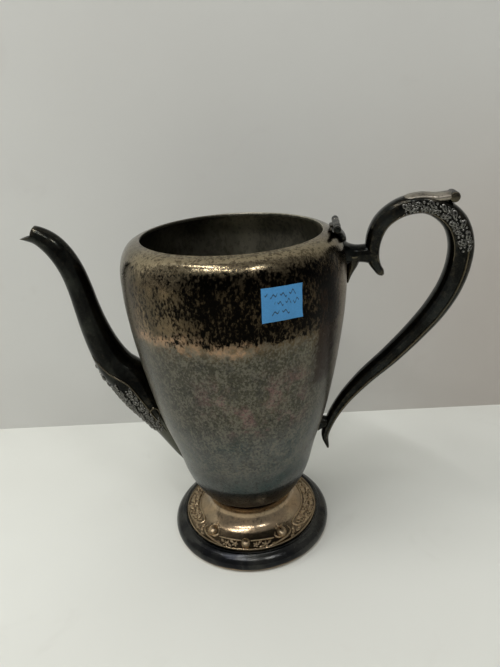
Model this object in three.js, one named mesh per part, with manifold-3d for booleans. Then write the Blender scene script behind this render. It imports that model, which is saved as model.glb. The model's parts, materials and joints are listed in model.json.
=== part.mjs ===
// A footed coffee pot of silver-plated metal: spun body and foot, cast spout, handle and hinge.
// Millimetres, +Z up. The origin is under the middle of the whole pot, on the surface that the foot
// stands on. The handle points along +X and the spout along -X, so the metal is the same on both
// sides of Y = 0. Every piece is drawn round the body's axis, and the group is then moved by AXIS_X.
import * as THREE from 'three';
import * as BufferGeometryUtils from 'three/addons/utils/BufferGeometryUtils.js';
import Module from 'manifold-3d';

const wasm = await Module();
wasm.setup();

// Driving dimensions.
const GAP = 0.3; // between two pieces that touch
const WALL = 1.2; // sheet of the body
const FOOT_WALL = 1.0; // sheet of the foot
const SPOUT_WALL = 1.5;
const SPOUT_SEAM_Z = 163; // where the hood is joined to the neck of the spout
const ROUND = 48; // sides of the spun pieces
const AXIS_X = -3.3; // from the middle of the pot to the body's axis

const MOUTH_RADIUS = 48.3;
const MOUTH_Z = 190;
const BODY_BOTTOM_Z = 26;

const NECK_RADIUS = 23.5;
const RIM_INNER = 42.5;
const RIM_OUTER = 49.6;

const HINGE_X = 55;
const HINGE_Z = 191.6;
const BARREL_RADIUS = 2.5;
const BARREL_HALF = 13.5;
const PIN_RADIUS = 0.9;
const LID_KNUCKLE_HALF = 4.2;

const TAG_WIDTH = 21;
const TAG_HEIGHT = 17.5;
const TAG_THICK = 0.25;
const TAG_Z = 167.7; // middle of the tag
const TAG_TURN = 28.8; // degrees from -Y towards +X
const TAG_TILT = 1.5; // degrees

const STRAINER_HOLE = 1.5; // radius
const STRAINER_PITCH = 5;
const STRAINER_Z = 88;

// Outside of the body, bottom to mouth: radius and height.
const bodyOutline = [
  [20, 26], [25, 26.9], [28.2, 28.6], [30.8, 31], [34.3, 37.5], [37.7, 45.6], [42.2, 63],
  [49, 85.5], [53.5, 106.4], [57.1, 127.3], [59.6, 146.3], [60.6, 160], [60.6, 171.5],
  [59.9, 177.8], [58, 183.5], [54.8, 187.7], [51.4, 189.4],
];

const silver = { color: 0x6f6b60, roughness: 0.38, metalness: 0.9 };
const darkCast = { color: 0x2c2e2b, roughness: 0.35, metalness: 0.85 };
const goldenFoot = { color: 0x7a664a, roughness: 0.36, metalness: 0.9 };
const blackened = { color: 0x23262a, roughness: 0.25, metalness: 0.85 };
const bluePaper = { color: 0x5a9ac8, roughness: 0.85, metalness: 0 };

const group = new THREE.Group();
group.position.x = AXIS_X;

// ---- Turning geometry into solids and back ----

function toSolid(geometry) {
  const bare = geometry.clone();
  bare.deleteAttribute('normal');
  bare.deleteAttribute('uv');
  const merged = BufferGeometryUtils.mergeVertices(bare, 1e-4);
  return new wasm.Manifold(new wasm.Mesh({
    numProp: 3,
    vertProperties: new Float32Array(merged.attributes.position.array),
    triVerts: new Uint32Array(merged.index.array),
  }));
}

function toGeometry(solid) {
  const mesh = solid.getMesh();
  const geometry = new THREE.BufferGeometry();
  geometry.setAttribute('position', new THREE.BufferAttribute(mesh.vertProperties, 3));
  geometry.setIndex(new THREE.BufferAttribute(mesh.triVerts, 1));
  return geometry;
}

function addPiece(name, solid, look) {
  const flat = toGeometry(solid).toNonIndexed();
  flat.computeVertexNormals();
  const mesh = new THREE.Mesh(flat, new THREE.MeshStandardMaterial(look));
  mesh.name = name;
  group.add(mesh);
}

// A closed outline of [radius, height] points, given clockwise from the axis, spun round Z.
function spun(outline) {
  const points = outline.map(([radius, z]) => new THREE.Vector2(radius, z));
  const onAxis = points[0].x === 0 && points[points.length - 1].x === 0;
  if (!onAxis) {
    points.push(points[0].clone());
  }
  const geometry = new THREE.LatheGeometry(points, ROUND);
  geometry.rotateX(Math.PI / 2);
  return toSolid(geometry);
}

// A rod along stations of [x, z, half height in the XZ plane, half width along Y], closed at
// both ends. A squareness of 1 gives an oval section, and less gives flatter sides.
function rod(stations, { sides = 16, steps = 24, squareness = 1 } = {}) {
  const path = new THREE.CatmullRomCurve3(stations.map(([x, z]) => new THREE.Vector3(x, 0, z)));
  const sizes = new THREE.CatmullRomCurve3(stations.map(([, , a, b]) => new THREE.Vector3(a, b, 0)));
  const geometry = new THREE.CylinderGeometry(1, 1, 1, sides, steps);
  const place = geometry.attributes.position;
  const soften = (value) => Math.sign(value) * Math.abs(value) ** squareness;
  for (let i = 0; i < place.count; i += 1) {
    const along = 0.5 - place.getY(i);
    const centre = path.getPoint(along);
    const ahead = path.getTangent(along);
    const size = sizes.getPoint(along);
    const up = soften(place.getX(i)) * size.x;
    const across = soften(place.getZ(i)) * size.y;
    place.setXYZ(i, centre.x - ahead.z * up, across, centre.z + ahead.x * up);
  }
  const solid = toSolid(geometry);
  return solid.volume() > 0 ? solid : toSolid(inverted(geometry));
}

function inverted(geometry) {
  const turned = geometry.clone();
  const index = turned.index.array;
  for (let i = 0; i < index.length; i += 3) {
    [index[i], index[i + 1]] = [index[i + 1], index[i]];
  }
  return turned;
}

// A cylinder along Y in the hinge's barrel.
function barrel(radius, from, to, sides = 20) {
  const geometry = new THREE.CylinderGeometry(radius, radius, to - from, sides);
  geometry.translate(HINGE_X, (from + to) / 2, 0);
  geometry.translate(0, 0, HINGE_Z);
  return toSolid(geometry);
}

// ---- Body ----

// The outside of the body grown by a distance, as a solid with no hollow.
function bodyBlock(grow) {
  const sides = bodyOutline.map(([radius, z], i) => {
    const before = bodyOutline[Math.max(i - 1, 0)];
    const after = bodyOutline[Math.min(i + 1, bodyOutline.length - 1)];
    const slope = new THREE.Vector2(after[0] - before[0], after[1] - before[1]).normalize();
    return [radius + slope.y * grow, z - slope.x * grow];
  });
  return spun([[0, BODY_BOTTOM_Z - grow], ...sides, [MOUTH_RADIUS, MOUTH_Z + grow], [0, MOUTH_Z + grow]]);
}

function bodyHollow() {
  const inside = bodyOutline.slice(2, -1).map(([radius, z]) => [radius - WALL, z]);
  const mouth = MOUTH_RADIUS - 0.5;
  return spun([
    [0, BODY_BOTTOM_Z + WALL], [24, BODY_BOTTOM_Z + 2 * WALL], ...inside,
    [mouth + 2, MOUTH_Z - 1.9], [mouth, MOUTH_Z - 1.2], [mouth, MOUTH_Z + 5], [0, MOUTH_Z + 5],
  ]);
}

// Rows of round holes through the wall behind the spout, which keep the grounds in the pot.
function strainerHoles() {
  const rows = 3;
  const drills = [];
  for (let row = -rows; row <= rows; row += 1) {
    const count = 4 - (Math.abs(row) % 2);
    for (let i = 0; i < count; i += 1) {
      const drill = new THREE.CylinderGeometry(STRAINER_HOLE, STRAINER_HOLE, 30, 8);
      drill.rotateZ(Math.PI / 2);
      const y = (i - (count - 1) / 2) * STRAINER_PITCH;
      drill.translate(-48, y, STRAINER_Z + row * STRAINER_PITCH * 0.9);
      drills.push(toSolid(drill));
    }
  }
  return wasm.Manifold.union(drills);
}

const bodySolid = bodyBlock(0);
const bodyClearance = bodyBlock(GAP);
addPiece('body_shell', bodySolid.subtract(bodyHollow()).subtract(strainerHoles()), silver);

// ---- Foot ----

addPiece('foot_collar', spun([
  [NECK_RADIUS + GAP, 24.2], [25, 23.8], [26, 24.6], [25.8, 25.8], [NECK_RADIUS + GAP, 25.7],
]), blackened);

const domeTop = [
  [NECK_RADIUS, 25.5], [23.6, 23], [24.8, 19.2], [27.6, 15.6], [32, 12.6], [37, 10.8],
  [RIM_INNER - GAP, 9.6],
];
const domeUnder = domeTop.map(([radius, z]) => [radius - FOOT_WALL * 0.7, z - FOOT_WALL]).reverse();
addPiece('foot_dome', spun([...domeTop, ...domeUnder].reverse()), goldenFoot);

addPiece('foot_rim', spun([
  [44.4, 0], [48.4, 0], [49.3, 1.2], [RIM_OUTER, 3.2], [49.2, 5.2], [48, 7], [46.4, 8.3],
  [44.8, 8.9], [43.8, 9], [43.4, 9.6], [RIM_INNER, 9.6], [RIM_INNER, 6.8], [43.2, 2],
]), blackened);

// ---- Spout ----

// The bore and the outside share one path, so a wall of one thickness is left between them.
const spoutStations = [
  [-42, 76, 15, 14], [-54.5, 86, 15, 14], [-64.2, 97.8, 13.6, 12.8], [-74.8, 111.8, 11.1, 10.4],
  [-80.9, 125.2, 9.2, 8.6], [-84.5, 137.5, 8.1, 7.6], [-86.9, 149.3, 7.3, 6.9], [-89, 161.4, 6.9, 6.5],
  [-91.8, 172, 6.7, 6.3], [-95.8, 180.6, 6.5, 6.2], [-100.9, 187.2, 6.1, 5.8], [-107.2, 191.7, 5.2, 5],
  [-114.4, 193.7, 4.5, 3.8], [-121, 195.2, 4.2, 2.6],
];
const tailStations = [
  [-56, 84, 9, 10], [-55.2, 75, 8.4, 9], [-50, 65.8, 6.4, 7], [-45.4, 57.4, 5.4, 4.6],
  [-42.9, 51, 3.7, 2.8], [-41.4, 46, 2.1, 1.6], [-41, 43.6, 0.8, 0.8],
];

// What is cut away to open the mouth: the hood above ends in a rounded edge, and the pouring
// lip below reaches further out.
function spoutMouthCut() {
  const side = new THREE.Shape();
  side.moveTo(-130, 205);
  side.lineTo(-101.5, 205);
  side.quadraticCurveTo(-109.4, 198, -110, 192.2);
  side.quadraticCurveTo(-112.6, 191.4, -118.2, 190.2);
  side.lineTo(-118.2, 180);
  side.lineTo(-130, 180);
  side.closePath();
  const geometry = new THREE.ExtrudeGeometry(side, { depth: 30, bevelEnabled: false, curveSegments: 6 });
  geometry.translate(0, 0, -15);
  geometry.rotateX(Math.PI / 2);
  return toSolid(geometry);
}

// Everything from a height upwards, past every side of the pot.
function blockAbove(z) {
  const geometry = new THREE.BoxGeometry(400, 400, 200);
  geometry.translate(0, 0, z + 100);
  return toSolid(geometry);
}

const spoutBore = spoutStations.map(([x, z, a, b]) => [x, z, a - SPOUT_WALL, b - SPOUT_WALL]);
const spoutOptions = { sides: 18, steps: 24 };
const wholeSpout = rod(spoutStations, spoutOptions)
  .add(rod(tailStations, { sides: 16, steps: 10 }))
  .subtract(rod(spoutBore, spoutOptions))
  .subtract(spoutMouthCut())
  .subtract(bodyClearance);
addPiece('spout', wholeSpout.subtract(blockAbove(SPOUT_SEAM_Z)), darkCast);
addPiece('spout_hood', wholeSpout.intersect(blockAbove(SPOUT_SEAM_Z + GAP)), darkCast);

// ---- Handle ----

const gripStations = [
  [79.2, 164.2, 0.6, 1.2], [76.4, 167.2, 2, 3.2], [74.3, 172.5, 3.3, 4.6], [73.7, 178.5, 3.8, 5.2],
  [74.7, 185, 4.2, 5.6], [78.1, 192, 4.5, 5.8], [84.6, 197.4, 4.8, 6], [92.5, 200.2, 5, 6.2],
  [100, 200.2, 5, 6.4], [107.6, 197, 5.5, 6.5], [114.8, 190, 6.1, 6.5], [118.3, 180, 6.4, 6.5],
  [118, 168.8, 6.3, 6.4], [114.9, 157.3, 6.2, 6.3], [108.6, 144.9, 6, 6.1], [98.3, 131, 5.5, 5.8],
  [85.5, 116.4, 5.1, 5.4], [70.4, 101.2, 4.4, 5], [58.4, 86, 3.5, 4.6], [51.5, 73, 2.8, 4.2],
  [48.5, 63, 2.3, 3.2], [50.2, 53.6, 0.7, 1.2],
];
const thumbStations = [
  [88, 201.6, 2.4, 4.6], [97, 203.6, 2.8, 5.2], [104.6, 202.8, 2.6, 5.2], [109.6, 203.8, 2.2, 5],
  [112.4, 203.8, 2.2, 4.8],
];

// The roll that the thumb rest ends in, across the top of the grip.
function thumbRoll() {
  const geometry = new THREE.CylinderGeometry(2.9, 2.9, 10, 16);
  geometry.translate(112.5, 0, 203.5);
  return toSolid(geometry);
}

const STRUT_Z = 175.7;
const STRUT_END = 68;
const PAD_Z = 71.8;
const PAD_END = 46.3;

const gripOptions = { sides: 14, steps: 46, squareness: 0.8 };
const strutStub = [[STRUT_END + GAP, STRUT_Z, 4.6, 5.4], [74, STRUT_Z, 4.6, 5.4]];
const padStub = [[PAD_END + GAP, PAD_Z, 3.8, 3.7], [51, PAD_Z, 3.8, 3.7]];
const grip = rod(gripStations, gripOptions)
  .add(rod(thumbStations, { sides: 14, steps: 8, squareness: 0.8 }))
  .add(thumbRoll())
  .add(rod(strutStub, { sides: 14, steps: 1, squareness: 0.85 }))
  .add(rod(padStub, { sides: 12, steps: 1, squareness: 0.85 }));
addPiece('handle_grip', grip, darkCast);

const socketStations = [[50, STRUT_Z, 10, 11], [58.6, STRUT_Z, 7.4, 8.4], [62.4, STRUT_Z, 5.2, 6.2],
  [STRUT_END, STRUT_Z, 4.6, 5.4]];
const dropStations = [[62.6, 176, 4.6, 5.6], [62.8, 170.8, 3.9, 4.6], [62, 166, 2.4, 3],
  [61.4, 161, 0.6, 0.9]];
const upperSocket = rod(socketStations, { sides: 14, steps: 8, squareness: 0.85 })
  .add(rod(dropStations, { sides: 12, steps: 8 }))
  .subtract(bodyClearance);
addPiece('handle_upper_socket', upperSocket, darkCast);

const lowerPad = rod([[38, PAD_Z, 5.6, 5.2], [PAD_END, PAD_Z, 3.9, 3.9]], { sides: 12, steps: 1 })
  .subtract(bodyClearance);
addPiece('handle_lower_pad', lowerPad, darkCast);

// ---- Hinge ----

const leafStations = [[53.6, 190.6, 1.5, 12], [55.4, 189, 1.6, 9.5], [57, 187, 1.5, 6.4],
  [58.5, 184.9, 1.5, 7.4], [59.2, 183.4, 1.1, 4.6]];
const lidKnuckleRoom = barrel(BARREL_RADIUS + 2 * GAP, -LID_KNUCKLE_HALF - GAP, LID_KNUCKLE_HALF + GAP);
const pinBore = barrel(PIN_RADIUS + GAP, -BARREL_HALF - 1, BARREL_HALF + 1, 12);
const hingeBracket = barrel(BARREL_RADIUS, -BARREL_HALF, BARREL_HALF)
  .add(rod(leafStations, { sides: 14, steps: 10, squareness: 0.6 }))
  .subtract(lidKnuckleRoom)
  .subtract(pinBore)
  .subtract(bodyClearance);
addPiece('hinge_bracket', hingeBracket, darkCast);

const pinHead = (from, to) => barrel(PIN_RADIUS * 1.8, from, to, 12);
const hingePin = barrel(PIN_RADIUS, -BARREL_HALF - 2 * GAP, BARREL_HALF + 2 * GAP, 12)
  .add(pinHead(-BARREL_HALF - 3 * GAP, -BARREL_HALF - GAP))
  .add(pinHead(BARREL_HALF + GAP, BARREL_HALF + 3 * GAP));
addPiece('hinge_pin', hingePin, darkCast);

// The lid's own knuckle, with the tongue that the lid was soldered to.
function lidTongue() {
  const reach = 2.8;
  const halfWidth = LID_KNUCKLE_HALF - 0.2;
  const outline = new THREE.Shape();
  outline.moveTo(0, -halfWidth);
  outline.lineTo(-reach + 1, -halfWidth);
  outline.quadraticCurveTo(-reach, -halfWidth, -reach, -halfWidth + 1);
  outline.lineTo(-reach, halfWidth - 1);
  outline.quadraticCurveTo(-reach, halfWidth, -reach + 1, halfWidth);
  outline.lineTo(0, halfWidth);
  outline.closePath();
  const geometry = new THREE.ExtrudeGeometry(outline, { depth: 1.3, bevelEnabled: false, curveSegments: 4 });
  geometry.translate(HINGE_X - 0.8, 0, MOUTH_Z + 2 * GAP);
  return toSolid(geometry);
}

const lidKnuckle = barrel(BARREL_RADIUS, -LID_KNUCKLE_HALF, LID_KNUCKLE_HALF)
  .add(lidTongue())
  .subtract(pinBore);
addPiece('lid_knuckle', lidKnuckle, darkCast);

// ---- Price tag ----

function bodyRadiusAt(z) {
  const upper = bodyOutline.findIndex(([, height]) => height > z);
  const [lowRadius, lowZ] = bodyOutline[upper - 1];
  const [highRadius, highZ] = bodyOutline[upper];
  return THREE.MathUtils.lerp(lowRadius, highRadius, (z - lowZ) / (highZ - lowZ));
}

// A paper rectangle wrapped on the body, leaning a little to one side.
function priceTag() {
  const sheet = new THREE.BoxGeometry(TAG_WIDTH, TAG_HEIGHT, TAG_THICK, 6, 4, 1);
  sheet.rotateZ(THREE.MathUtils.degToRad(-TAG_TILT));
  const place = sheet.attributes.position;
  for (let i = 0; i < place.count; i += 1) {
    const z = TAG_Z + place.getY(i);
    const radius = bodyRadiusAt(z) + GAP + TAG_THICK / 2 + place.getZ(i);
    const turn = THREE.MathUtils.degToRad(TAG_TURN - 90) + place.getX(i) / bodyRadiusAt(TAG_Z);
    place.setXYZ(i, radius * Math.cos(turn), radius * Math.sin(turn), z);
  }
  return toSolid(sheet);
}

addPiece('price_tag', priceTag(), bluePaper);

group.updateMatrixWorld(true);

export default group;
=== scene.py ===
"""Looks for a footed coffee pot of tarnished silver plate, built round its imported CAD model."""
import functools
import json
import math
import random

import bpy
import numpy as np
from mathutils import Matrix, Vector

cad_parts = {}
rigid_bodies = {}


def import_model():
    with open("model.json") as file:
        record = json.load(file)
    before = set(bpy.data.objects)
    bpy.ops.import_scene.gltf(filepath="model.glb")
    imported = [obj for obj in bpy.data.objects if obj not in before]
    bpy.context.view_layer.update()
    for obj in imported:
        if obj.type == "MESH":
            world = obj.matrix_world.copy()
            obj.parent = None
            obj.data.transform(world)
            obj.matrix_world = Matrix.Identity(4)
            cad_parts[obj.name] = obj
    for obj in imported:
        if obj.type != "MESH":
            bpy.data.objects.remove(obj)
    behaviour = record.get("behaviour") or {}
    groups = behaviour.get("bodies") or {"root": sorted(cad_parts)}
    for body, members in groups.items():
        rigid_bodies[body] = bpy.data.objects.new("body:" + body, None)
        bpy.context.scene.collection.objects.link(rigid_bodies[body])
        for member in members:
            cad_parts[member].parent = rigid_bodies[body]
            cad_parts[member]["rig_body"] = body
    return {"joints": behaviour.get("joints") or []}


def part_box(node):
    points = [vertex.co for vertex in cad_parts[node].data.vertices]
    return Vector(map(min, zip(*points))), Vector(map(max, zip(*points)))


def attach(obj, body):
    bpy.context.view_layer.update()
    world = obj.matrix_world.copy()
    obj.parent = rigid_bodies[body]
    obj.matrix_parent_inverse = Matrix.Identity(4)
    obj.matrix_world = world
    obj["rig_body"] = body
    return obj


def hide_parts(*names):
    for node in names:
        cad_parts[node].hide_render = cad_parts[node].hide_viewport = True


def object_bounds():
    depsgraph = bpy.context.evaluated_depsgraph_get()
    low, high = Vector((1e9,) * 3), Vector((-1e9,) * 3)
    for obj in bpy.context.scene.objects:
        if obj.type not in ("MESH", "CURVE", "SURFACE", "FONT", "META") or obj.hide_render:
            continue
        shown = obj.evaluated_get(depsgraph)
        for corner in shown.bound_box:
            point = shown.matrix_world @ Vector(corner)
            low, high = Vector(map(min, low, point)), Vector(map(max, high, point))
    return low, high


bl_info = {
    "name": "Coffee Pot Looks",
    "version": (1, 0, 0),
    "blender": (4, 5, 0),
    "location": "View3D > Sidebar > Coffee Pot",
    "description": "Models the visible pieces and finishes of a footed coffee pot",
    "category": "Object",
}

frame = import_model()
CAD_BOX = [list(corner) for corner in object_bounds()]

MM = 0.001
FULL_TURN = 2 * math.pi
BODY_LOW, BODY_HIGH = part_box("body_shell")
AXIS_X = (BODY_LOW.x + BODY_HIGH.x) / 2  # the body's axis is a little off the middle of the pot
BODY_TOP = 0.19  # metres, a little under the lip
BOX_MARGIN = 2e-5
BODY_RADIUS_LIMIT = (BODY_HIGH.y - BODY_LOW.y) / 2 - 1e-5
HINGE_PIVOT = Vector(frame["joints"][0]["pos_m"])

# Outlines are radius and height from the body's axis, in millimetres.
BODY_OUTLINE = [
    (20, 26.3), (25, 27.7), (28.2, 29.7), (30.8, 32), (34.3, 37.8), (37.7, 45.6), (42.2, 63),
    (49, 85.5), (53.5, 106.4), (57.1, 127.3), (59.6, 146.3), (60.6, 160), (60.6, 171.5),
    (59.9, 177.8), (58, 183.5), (54.8, 187.7), (51.4, 189.4), (49.2, 189.9),
]
BODY_WALL = 1.2
FOOT_SLOPE = [(26.7, 27.2), (25.6, 25.6), (24.8, 22.8), (25.3, 19.2), (27.6, 15.6), (31.4, 12.9)]
FOOT_BORDER = [(33.2, 12.2), (37, 10.9), (40.4, 9.95)]
RIM_OUTLINE = [
    (44.4, 0), (48.4, 0), (49.3, 1.2), (49.6, 3.2), (49.2, 5.2), (48, 7), (46.4, 8.3),
]
RIM_STEP = [(44.9, 8.75), (44.6, 9.1), (43.9, 9.2), (43.6, 9.6), (42.5, 9.6), (42.5, 6.8), (43.2, 2)]

# Rods run along stations of x, z, half height and half width, in millimetres from the axis.
SPOUT_STATIONS = [
    (-40.8, 43.7, 0.5, 0.7), (-41.2, 47.2, 2.4, 1.7), (-42.9, 53, 4.2, 3.2), (-45.8, 60.8, 5.7, 5.4),
    (-49.6, 70.5, 7.4, 8.2), (-54.2, 81, 9.8, 11.4), (-58.9, 91, 12.2, 13.4), (-65.6, 101.2, 13, 12.6),
    (-74.8, 111.8, 11.1, 10.4), (-80.9, 125.2, 9.2, 8.6), (-84.5, 137.5, 8.1, 7.6),
    (-86.9, 149.3, 7.3, 6.9), (-89, 161.4, 6.9, 6.5), (-91.8, 172, 6.7, 6.3), (-95.8, 180.6, 6.5, 6.2),
    (-100.9, 187.2, 6.1, 5.8), (-107.2, 191.7, 5.2, 5), (-114.4, 193.7, 4.5, 3.8), (-121, 195.2, 4.2, 2.6),
]
SPOUT_WALL = 1.5
BORE_START = 0.32  # share of the spout's path where the bore begins
MOUTH_EDGE = [
    (190.2, -118.2), (191.3, -113.4), (192.2, -110), (195.2, -109.2), (198.3, -107.6),
    (201.6, -105), (205, -101.5),
]
GRIP_STATIONS = [
    (79.6, 163.6, 0.9, 1.2), (78.6, 164.8, 1.9, 2.6), (76.6, 167.6, 2.4, 3.4), (74.3, 172.5, 3.3, 4.6),
    (73.7, 178.5, 3.8, 5.2), (74.7, 185, 4.2, 5.6), (78.1, 192, 4.5, 5.8), (84.6, 197.4, 4.8, 6),
    (92.5, 200.2, 5, 6.2),
    (100, 200.2, 5, 6.4), (107.6, 197, 5.5, 6.5), (114.8, 190, 6.1, 6.5), (118.3, 180, 6.4, 6.5),
    (118, 168.8, 6.3, 6.4), (114.9, 157.3, 6.2, 6.3), (108.6, 144.9, 6, 6.1), (98.3, 131, 5.5, 5.8),
    (85.5, 116.4, 5.1, 5.4), (70.4, 101.2, 4.4, 5), (58.4, 86, 3.5, 4.6), (51.5, 73, 2.8, 4.2),
    (48.5, 63, 2.3, 3.2), (50.2, 53.6, 0.7, 1.2),
]
GRIP_SQUARENESS = 0.8
THUMB_STATIONS = [
    (84, 199.4, 1.2, 2.6), (88, 201.4, 2.4, 4.4), (97, 203.4, 2.7, 5.2), (104.6, 203, 2.5, 5.3),
    (109.6, 203.6, 2.3, 5.2), (112.6, 203.8, 2.3, 5.1),
]
STRUT_STATIONS = [
    (52, 175.7, 10.4, 11.4), (58.6, 175.7, 7.6, 8.6), (61.2, 175.7, 5.7, 6.8), (64, 175.7, 4.8, 5.7),
    (67.5, 175.7, 4.6, 5.3), (71, 175.7, 5.2, 5.2), (74, 176, 7, 4.9), (76, 176.4, 8.4, 4.2),
]
DROP_STATIONS = [
    (63.4, 175.5, 5.2, 6.2), (63.2, 170.5, 3.4, 5), (62.2, 166.4, 2.1, 3.6), (61.5, 162.6, 1.1, 2),
    (61.2, 159.6, 0.4, 0.7),
]
PAD_STATIONS = [
    (44.2, 71.8, 5.6, 5.2), (46.3, 71.8, 4.1, 4.1), (49, 71.8, 3.6, 3.6), (51.6, 71.8, 3.9, 3.6),
]
LEAF_STATIONS = [
    (53.6, 190.6, 1.5, 12), (55.4, 189, 1.6, 9.5), (57, 187, 1.5, 6.4), (58.5, 184.9, 1.5, 7.4),
    (59.2, 183.4, 1.1, 4.6),
]

STRAINER_HOLE = 1.5  # radius
STRAINER_PITCH, STRAINER_ROW = 5, 4.5
STRAINER_HEIGHT = 88
KNUCKLE_RADIUS = 1.85
TONGUE = (4.2, 7.6, 1.2)  # reach, width and thickness of the lid knuckle's stub
TAG_LENGTH, TAG_SHAPE = 20.2, 0.802  # the second is height over length
TAG_HEIGHT, TAG_TURN, TAG_TILT = 168.5, 27.9, -1.5  # millimetres up, then degrees
TAG_WRAP_RADIUS = 60.4
TAG_STAND_OFF = 0.42
# Each squiggle's middle, start and end as shares of the sheet, and how fast it swings.
TAG_SQUIGGLES = ((0.78, 0.08, 0.86, 52.0), (0.54, 0.3, 0.9, 61.0), (0.28, 0.24, 0.66, 47.0))
CAMERA_PLACE = (0.0369, -0.28605, 0.25462)
CAMERA_TURNS = (-0.117534, 0.406106, -0.0654509)  # heading, pitch down and roll, in radians
WALL_TURN = math.atan2(0.138 - 0.103, 0.185 + 0.214)


# ---- Selecting and finishing ----

def deselect_all():
    if bpy.context.object and bpy.context.object.mode != "OBJECT":
        bpy.ops.object.mode_set(mode="OBJECT")
    bpy.ops.object.select_all(action="DESELECT")


def select_only(*pieces):
    deselect_all()
    for piece in pieces:
        piece.select_set(True)
    bpy.context.view_layer.objects.active = pieces[0]


def settle(name, angle=40):
    """Ends edit mode, closes seams, points the faces outwards and names the active piece."""
    piece = bpy.context.object
    if piece.mode != "EDIT":
        bpy.ops.object.mode_set(mode="EDIT")
    bpy.ops.mesh.select_all(action="SELECT")
    bpy.ops.mesh.remove_doubles(threshold=1e-6)
    bpy.ops.mesh.normals_make_consistent(inside=False)
    bpy.ops.object.mode_set(mode="OBJECT")
    bpy.ops.object.transform_apply(location=True, rotation=True, scale=True)
    bpy.ops.object.shade_smooth_by_angle(angle=math.radians(angle))
    piece.name = name
    piece.data.name = name
    return piece


def join(name, pieces):
    select_only(*pieces)
    bpy.ops.object.join()
    pieces[0].name = name
    pieces[0].data.name = name
    return pieces[0]


def dress(piece, slot, *finishes):
    """Gives a piece its finishes and the pot's body to ride on."""
    keep_in_box(piece)
    piece.data.materials.clear()
    for name in finishes:
        piece.data.materials.append(finish(name))
    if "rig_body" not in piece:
        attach(piece, "pot")


def coordinates(piece):
    places = np.zeros(len(piece.data.vertices) * 3)
    piece.data.vertices.foreach_get("co", places)
    return places.reshape(-1, 3)


def set_coordinates(piece, places):
    piece.data.vertices.foreach_set("co", np.asarray(places, float).ravel())
    piece.data.update()


# ---- Smooth lines ----

def smooth_path(stations, per_span):
    """Points on a smooth curve through the stations."""
    stations = np.array(stations, float)
    spans = np.diff(stations, axis=0)
    lengths = np.linalg.norm(spans[:, :2], axis=1)[:, None]
    slopes = spans / lengths
    inner = (slopes[:-1] * lengths[1:] + slopes[1:] * lengths[:-1]) / (lengths[:-1] + lengths[1:])
    tangents = np.vstack([slopes[:1], inner, slopes[-1:]])
    path = []
    for i, length in enumerate(lengths):
        for t in np.arange(per_span) / per_span:
            path.append(
                (2 * t ** 3 - 3 * t ** 2 + 1) * stations[i]
                + (t ** 3 - 2 * t ** 2 + t) * length * tangents[i]
                + (3 * t ** 2 - 2 * t ** 3) * stations[i + 1]
                + (t ** 3 - t ** 2) * length * tangents[i + 1]
            )
    path.append(stations[-1])
    return np.array(path)


def arc(centre, radius, start, end, count):
    """Points of an arc in an outline's radius and height plane, angles in degrees."""
    angles = np.radians(np.linspace(start, end, count))
    return [(centre[0] + radius * math.cos(a), centre[1] + radius * math.sin(a)) for a in angles]


class RodLine:
    """A rod's centre line and section sizes, evenly spaced by length."""

    def __init__(self, stations, squareness=1.0):
        fine = smooth_path(stations, 24)
        steps = np.linalg.norm(np.diff(fine[:, :2], axis=0), axis=1)
        self.lengths = np.concatenate([[0], np.cumsum(steps)])
        self.total = self.lengths[-1]
        self.fine = fine
        self.squareness = squareness

    def at(self, along):
        reach = np.clip(along, 0, 1) * self.total
        return [np.interp(reach, self.lengths, self.fine[:, k]) for k in range(4)]

    def place(self, along, angle, grow=0.0):
        """Points on the surface in metres. Angle 0 is the outer side and a quarter turn is +Y."""
        x, z, half, width = self.at(along)
        step = 0.002
        x1, z1, _, _ = self.at(along + step)
        x0, z0, _, _ = self.at(along - step)
        length = np.hypot(x1 - x0, z1 - z0)
        dx, dz = (x1 - x0) / length, (z1 - z0) / length
        soften = lambda value: np.sign(value) * np.abs(value) ** self.squareness
        up = soften(np.cos(angle)) * (half + grow)
        across = soften(np.sin(angle)) * (width + grow)
        return np.stack([AXIS_X + (x - dz * up) * MM, across * MM, (z + dx * up) * MM], axis=-1)

    def centre(self, along):
        """Points on the centre line in metres."""
        x, z, _, _ = self.at(along)
        return np.stack([AXIS_X + x * MM, np.zeros_like(x), z * MM], axis=-1)

    def frame_at(self, along, angle, grow=0.0):
        """A matrix on the surface: X runs along the rod, Z stands out of it."""
        nudge = 1e-3
        here = self.place(along, angle, grow)
        forward = Vector(self.place(along + nudge, angle) - self.place(along - nudge, angle))
        round_ = Vector(self.place(along, angle + nudge) - self.place(along, angle - nudge))
        out = forward.cross(round_).normalized()
        if out.dot(Vector(here - self.centre(along))) < 0:
            out = -out
        return surface_matrix(Vector(here), forward, out)


def surface_matrix(place, along, out):
    out = out.normalized()
    along = (along - out * along.dot(out)).normalized()
    across = out.cross(along)
    return Matrix.Translation(place) @ Matrix((along, across, out)).transposed().to_4x4()


BODY_LINE = smooth_path(BODY_OUTLINE, 6)


def body_radius(z):
    """Outside radius of the body at a height, both in millimetres."""
    return np.interp(z, BODY_LINE[:, 1], BODY_LINE[:, 0])


def keep_out_of_body(places, depth=0.6):
    """Pushes what would reach into the body back into the thickness of its wall."""
    places = np.array(places)
    across = np.hypot(places[:, 0] - AXIS_X, places[:, 1])
    wall = (body_radius(places[:, 2] / MM) - depth) * MM
    grow = np.where((across < wall) & (places[:, 2] < BODY_TOP), wall / np.maximum(across, 1e-6), 1.0)
    places[:, 0] = AXIS_X + (places[:, 0] - AXIS_X) * grow
    places[:, 1] *= grow
    return places


def keep_in_box(piece):
    """Presses what stands out of the CAD model's box back to it."""
    low, high = np.array(CAD_BOX)
    set_coordinates(piece, np.clip(coordinates(piece), low + BOX_MARGIN, high - BOX_MARGIN))


# ---- Ways of making a piece ----

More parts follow.
